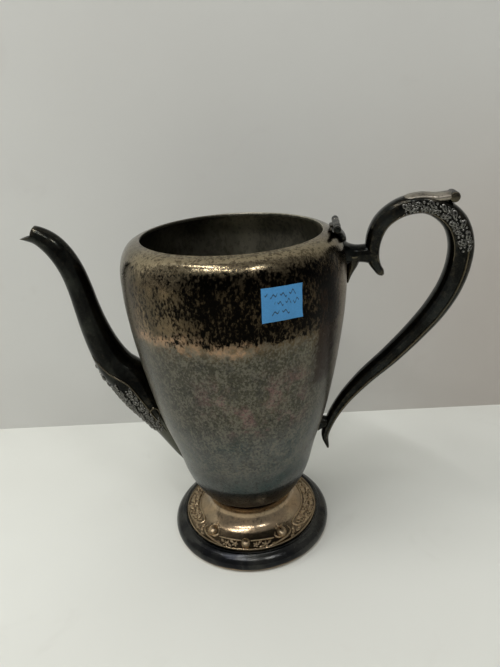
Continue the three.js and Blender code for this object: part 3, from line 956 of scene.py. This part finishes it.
class COFFEEPOT_OT_body(bpy.types.Operator):
    """Spins the body with its wall, rolled lip and strainer holes"""
    bl_idname = "coffee_pot.body"
    bl_label = "Body"

    def execute(self, context):
        sizes = context.scene.pot_sizes
        limit = BODY_RADIUS_LIMIT / MM
        outside = [(min(radius, limit), height) for radius, height in BODY_LINE[:, :2]]
        roll = sizes.lip_roll / MM
        lip = arc((48.75, 190.1 - roll), roll, 75, 200, 7)
        inside = [(radius - BODY_WALL, height) for radius, height in BODY_LINE[12:-8, :2]][::-1]
        throat = [(48.3, 188.6), (49.4, 188.0)]
        floor = [(24, 28.4), (12, 27.6), (0, 27.4)]
        outline = [(0, 26), (10, 26), *outside, *lip, *throat, *inside, *floor]
        body = turned("body", outline, sizes.round_steps, 50)

        deselect_all()
        drills = []
        for row in range(-3, 4):
            count = 4 - abs(row) % 2
            for i in range(count):
                across = (i - (count - 1) / 2) * STRAINER_PITCH
                height = STRAINER_HEIGHT + row * STRAINER_ROW
                bpy.ops.mesh.primitive_cylinder_add(
                    vertices=16, radius=STRAINER_HOLE * MM, depth=16 * MM, rotation=(0, math.pi / 2, 0),
                    location=(AXIS_X - 49 * MM, across * MM, height * MM))
                drills.append(bpy.context.object)
        subtract(body, join("strainer_drills", drills))
        if len(body.data.polygons) < 1000:
            raise RuntimeError("the strainer holes took the body away")

        dress(body, "tarnished_silver", "body_tarnish", "body_inside")
        for face in body.data.polygons:
            out = Vector((face.center.x - AXIS_X, face.center.y, 0)).normalized()
            low_inside = face.center.z < BODY_TOP and face.normal.dot(out) < -0.05
            floor_top = face.normal.z > 0.8 and face.center.z < 0.035
            face.material_index = int((low_inside or floor_top) and face.center.z > 0.0262)
        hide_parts("body_shell")
        return {"FINISHED"}


class COFFEEPOT_OT_foot(bpy.types.Operator):
    """Spins the collar, the sloping foot and its rim"""
    bl_idname = "coffee_pot.foot"
    bl_label = "Foot"

    def execute(self, context):
        steps = context.scene.pot_sizes.round_steps
        slope = smooth_path([*FOOT_SLOPE, *FOOT_BORDER], 5)[:, :2].tolist()
        bead = arc((41.4, 9.85), 0.55, 165, 10, 7)
        edge = [(42.1, 9.5), (42.1, 8.7)]
        under = [(radius - 0.7, height - 1.0) for radius, height in slope[::-1]]
        foot = turned("foot", [*slope, *bead, *edge, *under], steps, 50)
        dress(foot, "golden_foot", "foot_golden")
        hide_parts("foot_dome")

        outer = smooth_path(RIM_OUTLINE[1:], 4)[:, :2].tolist()
        rim = turned("foot_rim_ring", [RIM_OUTLINE[0], *outer, *RIM_STEP], steps, 35)
        dress(rim, "blackened_rim", "foot_rim_black")
        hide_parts("foot_rim")

        collar_outline = [(22.8, 24.2), *arc((23.4, 24.75), 0.6, -100, 100, 9), (22.8, 25.3)]
        collar = turned("neck_collar", collar_outline, steps, 50)
        dress(collar, "blackened_rim", "foot_rim_black")
        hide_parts("foot_collar")
        return {"FINISHED"}


class COFFEEPOT_OT_foot_relief(bpy.types.Operator):
    """Lays the cast border of bosses, scrolls, leaves and berries round the foot"""
    bl_idname = "coffee_pot.foot_relief"
    bl_label = "Foot Relief"

    def execute(self, context):
        size = context.scene.pot_sizes.relief
        line = smooth_path([*FOOT_SLOPE, *FOOT_BORDER, (42.2, 9.6)], 8)
        chance = random.Random(11)
        models = ornament_models()
        made = []

        def height_at(radius):
            return np.interp(radius, line[:, 0], line[:, 1])

        def on_foot(turn, radius, lift=0.0):
            rise = height_at(radius + 0.5) - height_at(radius - 0.5)
            turn = math.radians(turn)
            outward = Vector((math.sin(turn), -math.cos(turn), 0))
            around = Vector((math.cos(turn), math.sin(turn), 0))
            out = (Vector((0, 0, 1)) - outward * rise).normalized()
            place = Vector((AXIS_X, 0, height_at(radius) * MM)) + outward * radius * MM + out * lift * MM
            return surface_matrix(place, around, out)

        # One quarter of the border is laid four times, every other one mirrored.
        for quarter in range(4):
            flip = 1 if quarter % 2 == 0 else -1
            start = 0 if quarter < 2 else 180

            def at(turn, radius, lift=0.0):
                return on_foot(start + flip * turn, radius, lift)

            def add_leaf(turn, radius, lean, share):
                made.append(stamp(models["leaf"], at(turn, radius) @ turn_about_z(lean), size * share))

            def add_scroll(radius, taper, *spots):
                path = smooth_path([(start + flip * turn, r) for turn, r in spots], 8)
                places = [on_foot(turn, r, 0.1).translation for turn, r in path[:, :2]]
                made.append(wire("scroll", places, radius * MM, taper))

            # Florets between the middle roundel and the boss.
            made += spray(models, at(9.5, 38.4), size * 0.62, chance)
            made += spray(models, at(17.5, 38.9), size * 0.7, chance)
            for turn, radius in ((13.4, 37.2), (13.6, 39.9), (22.0, 38.0), (24.5, 39.9)):
                add_leaf(turn, radius, flip * 30, 0.75)
            add_scroll(0.42, 0.7, (4.5, 36.0), (12, 36.0), (20, 36.2), (27, 36.6))
            # The boss with its crown and the scroll that runs from under it.
            made.append(stamp(models["boss"], at(37, 35.2, 0.35), 3.0 * MM, (0.95, 1.15, 0.9)))
            for lean, radius in ((-26, 31.9), (0, 31.2), (26, 31.9)):
                add_leaf(37 - lean * 0.12, radius, -90 + lean, 0.8)
            made.append(stamp(models["berry"], at(37, 30.2), size * 0.35))
            add_scroll(0.62, 0.35, (46, 33.8), (45.5, 36.5), (41, 38.4), (33, 39.5), (24, 40.5), (17, 41.2))
            add_scroll(0.5, 0.35, (30.5, 33.6), (29, 35.5), (31, 37.3), (35.5, 38))
            # Leaves between the boss and the side strip, and the strip's own curl.
            for turn, radius, lean in (
                    (47, 38.6, 20), (51.5, 39.6, -25), (49, 36.6, 75), (55, 38.9, 10), (43.5, 40.3, 5)):
                add_leaf(turn, radius, flip * lean, 0.85)
            add_scroll(0.6, 0.35, (90, 33.0), (76, 33.0), (64, 32.8), (57, 33.1), (53, 34.6), (53.6, 36.6),
                       (58, 38.3), (66, 39.6), (76, 40.4), (86, 40.9))
            add_scroll(0.34, 0.35, (60, 34.6), (57.6, 35.4), (59.2, 36.8), (62.2, 36.2), (61.4, 34.9))
            # The strip along the side.
            shares = np.linspace(63, 89, 6)
            made += vine(models, lambda turn, side: at(turn, 36.9 + side * 3.0), shares, chance, size * 1.35)
        for turn in (0, 180):
            made.append(stamp(models["boss"], on_foot(turn, 37.4, 0.3), 2.7 * MM, (1, 1, 0.9)))
        drop_models(models)
        dress(join("foot_relief_cast", made), "golden_foot", "foot_relief")
        return {"FINISHED"}


class COFFEEPOT_OT_spout(bpy.types.Operator):
    """Draws the spout out along its curve, hollow, with its hood, pouring lip and pointed tail"""
    bl_idname = "coffee_pot.spout"
    bl_label = "Spout"

    def cast(self, line):
        """A ball drawn out along the line, over the mouth's edge and back down the bore."""
        sides, outer, edge, inner = 48, 110, 5, 70
        rings = outer + edge + inner
        spout, start, ring, angles, poles = ball_rings(sides, rings)

        def mouth_share(angle, grow):
            """Share of the path where the surface meets the mouth's edge."""
            shares = np.linspace(0.8, 1.0, 400)
            places = line.place(shares, np.full_like(shares, angle), grow)
            x, z = (places[:, 0] - AXIS_X) / MM, places[:, 2] / MM
            limits = np.interp(z, [p[0] for p in MOUTH_EDGE], [p[1] + 0.6 for p in MOUTH_EDGE])
            past = np.nonzero(x < limits)[0]
            return shares[past[0]] if len(past) else 1.0

        known = {angle: (mouth_share(angle, 0.0), mouth_share(angle, -SPOUT_WALL))
                 for angle in np.unique(np.round(angles, 6))}
        out_end, in_end = np.array([known[angle] for angle in np.round(angles, 6)]).T

        # Rings outside, then those of the rounded edge, then those inside.
        places = np.zeros_like(start)
        share = np.clip((ring - 1) / (outer - 1), 0, 1)
        back = np.clip((ring - outer - edge - 1) / (inner - 1), 0, 1)
        swing = (ring - outer) / (edge + 1) * math.pi
        outside = line.place(out_end, angles)
        inside = line.place(in_end, angles, -SPOUT_WALL)
        ahead = line.place(np.minimum(out_end + 0.004, 1.0), angles) - line.place(out_end - 0.004, angles)
        ahead /= np.maximum(np.linalg.norm(ahead, axis=1)[:, None], 1e-9)
        rounded = (outside + inside) / 2 + (outside - inside) / 2 * np.cos(swing)[:, None]
        rounded += ahead * (0.55 * MM) * np.sin(swing)[:, None]
        for chosen, laid in (
                (ring <= outer, line.place(share * out_end, angles)),
                ((ring > outer) & (ring <= outer + edge), rounded),
                (ring > outer + edge, line.place(in_end + back * (BORE_START - in_end), angles, -SPOUT_WALL)),
                (poles, line.centre(np.where(ring == 0, 0.0, BORE_START)))):
            places[chosen] = laid[chosen]
        set_coordinates(spout, keep_out_of_body(places))
        return settle("spout_cast", 60)

    def execute(self, context):
        line = RodLine(SPOUT_STATIONS)
        spout = self.cast(line)
        dress(spout, "dark_cast_silver", "spout_dark")
        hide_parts("spout", "spout_hood")

        # Cast leaves and berries under the root of the spout, inside a scrolled edge.
        size = context.scene.pot_sizes.relief
        chance = random.Random(5)
        models = ornament_models()
        made = []
        low, high = 0.17, 0.47

        def on_spout(share, degrees, lift=0.0):
            return line.frame_at(share, math.radians(degrees), lift)

        for row, degrees in enumerate((-88, -60, -32, -8, 8, 32, 60, 88)):
            shares = np.linspace(low + 0.006 * row, high - 0.0014 * abs(degrees), 13)
            made += vine(models, lambda s, side, d=degrees: on_spout(s, d + side * 10, 0.1),
                         shares, chance, size * 1.25)
        scrolls = []
        for side in (-1, 1):
            edge = [on_spout(s, side * (100 - 50 * max(0, (s - 0.36) / 0.13) ** 1.5), 0.05).translation
                    for s in np.linspace(0.15, high + 0.03, 44)]
            scrolls.append(wire("edge_scroll", edge, 0.7 * MM))
            curl = []
            for a in np.linspace(-1.3, 2.2, 16):
                along = 0.235 + 0.022 * math.cos(a) * (1 - a / 9)
                curl.append(on_spout(along, side * (112 + 14 * math.sin(a) * (1 - a / 9)), 0.15).translation)
            scrolls.append(wire("curl", curl, 0.8 * MM))
            leaf_place = on_spout(0.205, side * 104) @ turn_about_z(side * 30)
            made.append(stamp(models["leaf"], leaf_place, size * 1.2))
        made.append(stamp(models["boss"], on_spout(0.33, 0, 0.2), 2.6 * MM))
        drop_models(models)
        for name, pieces, look in (
                ("spout_relief", made, "relief_dark"), ("spout_scrolls", scrolls, "spout_dark")):
            piece = join(name, pieces)
            set_coordinates(piece, keep_out_of_body(coordinates(piece)))
            dress(piece, "dark_cast_silver", look)
        return {"FINISHED"}


class COFFEEPOT_OT_handle(bpy.types.Operator):
    """Draws out the scrolled handle, its thumb rest and the two places where it joins the body"""
    bl_idname = "coffee_pot.handle"
    bl_label = "Handle"

    def wires(self, name, line, degrees, lift, start, end, count, radius, taper):
        """A raised wire along each side of the handle."""
        made = []
        for side in (-1, 1):
            places = [line.frame_at(s, side * math.radians(degrees), lift).translation
                      for s in np.linspace(start, end, count)]
            made.append(wire(name, places, radius, taper))
        return join(name, made)

    def execute(self, context):
        sizes = context.scene.pot_sizes
        line = RodLine(GRIP_STATIONS, GRIP_SQUARENESS)
        grip = rod("handle_scroll", line, 40, 220)
        dress(grip, "dark_cast_silver", "handle_dark")
        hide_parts("handle_grip")

        # The thumb rest is coloured light, partly for wear and partly as a painted highlight.
        dress(rod("thumb_rest", RodLine(THUMB_STATIONS, 0.8), 28, 40), "dark_cast_silver", "thumb_wear_and_highlight")
        roll_centre = Vector((AXIS_X + 112.5 * MM, 0, 203.5 * MM))
        dress(barrel("thumb_roll", roll_centre, -5.2, 5.2, 2.6, 1.1), "dark_cast_silver", "handle_dark")

        strut = rod("handle_socket", RodLine(STRUT_STATIONS, 0.92), 40, 50, clear_of_body=True)
        drop = rod("socket_drop", RodLine(DROP_STATIONS), 28, 30, clear_of_body=True)
        pad = rod("lower_pad", RodLine(PAD_STATIONS, 0.9), 28, 24, clear_of_body=True)
        for piece in (strut, drop, pad):
            dress(piece, "dark_cast_silver", "handle_dark")
        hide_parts("handle_upper_socket")
        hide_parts("handle_lower_pad")

        edging = self.wires("handle_edging", line, 74, 0.15, 0.36, 0.965, 130, sizes.edge_wire, 0.5)
        dress(edging, "dark_cast_silver", "edge_gold")
        inner = self.wires("handle_inner_wires", line, 127, 0.0, 0.10, 0.40, 60, sizes.edge_wire * 0.8, 0.4)
        dress(inner, "dark_cast_silver", "handle_dark")

        chance = random.Random(23)
        models = ornament_models()
        made = []
        for side in (-1, 1):
            def on_grip(share, offset, side=side):
                middle = 100 - 16 * (share - 0.19) / 0.18
                return line.frame_at(share, side * math.radians(middle + offset * 22), 0.1)

            made += vine(models, on_grip, np.linspace(0.19, 0.37, 15), chance, sizes.relief * 1.45)
        drop_models(models)
        dress(join("handle_relief", made), "dark_cast_silver", "relief_dark")
        return {"FINISHED"}


class COFFEEPOT_OT_hinge(bpy.types.Operator):
    """Makes the lid hinge: leaf, knuckles, rings painted bright as a highlight, pin and the lid's loose
    knuckle
    """
    bl_idname = "coffee_pot.hinge"
    bl_label = "Hinge"

    def execute(self, context):
        leaf_plate = rod("hinge_leaf_plate", RodLine(LEAF_STATIONS, 0.6), 36, 40, clear_of_body=True)
        subtract(leaf_plate, barrel("knuckle_room", HINGE_PIVOT, -4.35, 4.35, 2.2, 0.05))
        dress(leaf_plate, "dark_cast_silver", "hinge_dark")
        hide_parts("hinge_bracket")
        for side, label in ((-1, "near"), (1, "far")):
            barrels = [barrel("barrel", HINGE_PIVOT, *sorted((side * near, side * far)), KNUCKLE_RADIUS, 0.5)
                       for near, far in ((5.0, 9.2), (9.5, 13.5))]
            dress(join("hinge_barrel_" + label, barrels), "dark_cast_silver", "hinge_dark")
            # Painted highlight: a ring each side, coloured near-white to stand in for the highlight on the
            # hinge.
            ring = barrel("hinge_ring_" + label, HINGE_PIVOT, *sorted((side * 4.4, side * 4.95)), 2.0, 0.2)
            dress(ring, "dark_cast_silver", "ring_painted_highlight")
        shaft = barrel("hinge_shaft", HINGE_PIVOT, -14.1, 14.1, 0.9, 0.1)
        heads = [barrel("pin_head", HINGE_PIVOT, *sorted((s * 13.6, s * 14.2)), 1.3, 0.25) for s in (-1, 1)]
        pin = join("hinge_pin_rod", [shaft, *heads])
        dress(pin, "dark_cast_silver", "hinge_dark")
        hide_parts("hinge_pin")

        # The lid's own knuckle, with a tongue that lies just over the mouth.
        middle = barrel("lid_barrel", HINGE_PIVOT, -4.15, 4.15, KNUCKLE_RADIUS, 0.4)
        deselect_all()
        reach, width, thick = (side * MM for side in TONGUE)
        bpy.ops.mesh.primitive_cube_add(size=1, scale=(reach, width, thick), location=(
            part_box("lid_knuckle")[0].x + reach / 2 + 0.1 * MM, 0, BODY_HIGH.z + 0.6 * MM + thick / 2))
        tongue = bevelled("lid_tongue", 0.4 * MM, segments=3, profile=0.5)
        loose = join("lid_leaf_knuckle", [middle, tongue])
        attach(loose, "lid_hinge_leaf")
        dress(loose, "dark_cast_silver", "hinge_dark")
        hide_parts("lid_knuckle")
        return {"FINISHED"}


class COFFEEPOT_OT_tag(bpy.types.Operator):
    """Wraps the paper tag on the body, with its corners coming away"""
    bl_idname = "coffee_pot.tag"
    bl_label = "Price Tag"

    def execute(self, context):
        deselect_all()
        bpy.ops.mesh.primitive_grid_add(x_subdivisions=28, y_subdivisions=22, size=1)
        tag = bpy.context.object
        tag.data.uv_layers[0].name = "sheet"
        x, y, _ = coordinates(tag).T
        tilt = math.radians(TAG_TILT)
        across = (x * math.cos(tilt) - y * TAG_SHAPE * math.sin(tilt)) * TAG_LENGTH
        height = TAG_HEIGHT + (y * TAG_SHAPE * math.cos(tilt) + x * math.sin(tilt)) * TAG_LENGTH
        curl = np.clip(np.abs(x) + np.abs(y) - 0.72, 0, 1) / 0.28
        curl *= np.where((x > 0) | (y < 0), 1.0, 0.35)  # the upper left corner still holds
        wrinkle = 0.06 * np.sin(x * 19) * np.sin(y * 13 + 1)
        lift = context.scene.pot_sizes.tag_lift / MM
        radius = body_radius(height) + TAG_STAND_OFF + wrinkle + curl ** 2 * lift
        turn = math.radians(TAG_TURN) + across / TAG_WRAP_RADIUS
        set_coordinates(tag, np.stack([
            AXIS_X + radius * np.sin(turn) * MM, -radius * np.cos(turn) * MM, height * MM], axis=-1))
        select_only(tag)
        paper = tag.modifiers.new("thickness", "SOLIDIFY")
        paper.thickness = 0.2 * MM
        paper.offset = 0
        bpy.ops.object.modifier_apply(modifier=paper.name)
        settle("price_tag_paper", 50)
        dress(tag, "blue_paper", "tag_paper")
        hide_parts("price_tag")
        return {"FINISHED"}


class COFFEEPOT_OT_stage(bpy.types.Operator):
    """Sets the table, the wall behind, the lights and the camera"""
    bl_idname = "coffee_pot.stage"
    bl_label = "Stage"

    def light(self, name, place, size, power, colour=(1, 1, 1), mirrored=True):
        """A panel of light turned to the pot. One that isn't mirrored makes no highlight."""
        bpy.ops.object.light_add(type="AREA", location=place)
        lamp = bpy.context.object
        lamp.name = name
        lamp.data.shape = "RECTANGLE"
        lamp.data.size, lamp.data.size_y = size
        lamp.data.energy = power
        lamp.data.color = colour
        lamp.visible_glossy = mirrored
        to_pot = Vector((0, 0, 0.1)) - Vector(place)
        lamp.rotation_euler = to_pot.to_track_quat("-Z", "Y").to_euler()

    def camera(self, context):
        heading, pitch, roll = CAMERA_TURNS
        level_reach = math.cos(pitch)
        forward = Vector((math.sin(heading) * level_reach, math.cos(heading) * level_reach, -math.sin(pitch)))
        level = forward.cross(Vector((0, 0, 1))).normalized()
        upright = level.cross(forward)
        right = level * math.cos(roll) + upright * math.sin(roll)
        up = upright * math.cos(roll) - level * math.sin(roll)
        bpy.ops.object.camera_add()
        camera = bpy.context.object
        camera.name = "pot_camera"
        turned_to = Matrix((right, up, -forward)).transposed().to_4x4()
        camera.matrix_world = Matrix.Translation(CAMERA_PLACE) @ turned_to
        camera.data.sensor_width = 36
        camera.data.lens = context.scene.pot_sizes.lens
        camera.data.clip_start, camera.data.clip_end = 0.01, 20
        context.scene.camera = camera

    def execute(self, context):
        deselect_all()
        self.camera(context)
        bpy.ops.mesh.primitive_grid_add(x_subdivisions=8, y_subdivisions=8, size=4, location=(0, 0, -0.0002))
        table = settle("table_top", 40)
        table.data.materials.append(finish("table_top"))
        bpy.ops.mesh.primitive_grid_add(
            x_subdivisions=8, y_subdivisions=4, size=1, location=(-0.0145, 0.1205, 0.698),
            rotation=(math.pi / 2, 0, WALL_TURN))
        bpy.ops.transform.resize(value=(3.0, 3.0, 1.4))
        bpy.ops.object.transform_apply(location=True, rotation=True, scale=True)
        wall = bpy.context.object
        wall.name = "back_wall"
        wall.data.materials.append(finish("back_wall"))

        self.light("strip_far", (-0.4, -0.4, 1.5), (0.8, 0.03), 4)
        self.light("strip_middle", (-0.3, -0.95, 1.5), (0.9, 0.035), 4)
        self.light("strip_right", (0.55, -0.8, 1.3), (0.25, 0.06), 2)
        self.light("ceiling_panel", (0.1, 0.1, 1.9), (1.6, 1.6), 12, mirrored=False)
        self.light("window_left", (-1.3, -0.3, 0.9), (0.9, 0.9), 10, (1, 0.99, 0.96), mirrored=False)
        world = context.scene.world or bpy.data.worlds.new("room")
        context.scene.world = world
        world.use_nodes = True
        background = world.node_tree.nodes["Background"]
        background.inputs[0].default_value = (0.8, 0.8, 0.78, 1)
        background.inputs[1].default_value = 0.36
        context.scene.view_settings.view_transform = "Standard"
        return {"FINISHED"}


OPERATORS = (
    COFFEEPOT_OT_stage, COFFEEPOT_OT_body, COFFEEPOT_OT_foot, COFFEEPOT_OT_foot_relief,
    COFFEEPOT_OT_spout, COFFEEPOT_OT_handle, COFFEEPOT_OT_hinge, COFFEEPOT_OT_tag,
)


class COFFEEPOT_PT_panel(bpy.types.Panel):
    """The pot's pieces, sizes and colours"""
    bl_label = "Coffee Pot"
    bl_idname = "COFFEEPOT_PT_panel"
    bl_space_type = "VIEW_3D"
    bl_region_type = "UI"
    bl_category = "Coffee Pot"

    def draw(self, context):
        for operator in OPERATORS:
            self.layout.operator(operator.bl_idname)
        for group in (context.scene.pot_sizes, context.scene.pot_finishes):
            column = self.layout.column()
            for name in group.__annotations__:
                column.prop(group, name)


CLASSES = (PotSizes, PotFinishes, *OPERATORS, COFFEEPOT_PT_panel)


def register():
    for item in CLASSES:
        bpy.utils.register_class(item)
    bpy.types.Scene.pot_sizes = bpy.props.PointerProperty(type=PotSizes)
    bpy.types.Scene.pot_finishes = bpy.props.PointerProperty(type=PotFinishes)


def unregister():
    del bpy.types.Scene.pot_finishes
    del bpy.types.Scene.pot_sizes
    for item in reversed(CLASSES):
        bpy.utils.unregister_class(item)


def main():
    register()
    for operator in OPERATORS:
        group, name = operator.bl_idname.split(".")
        getattr(getattr(bpy.ops, group), name)()


if __name__ == "__main__":
    main()
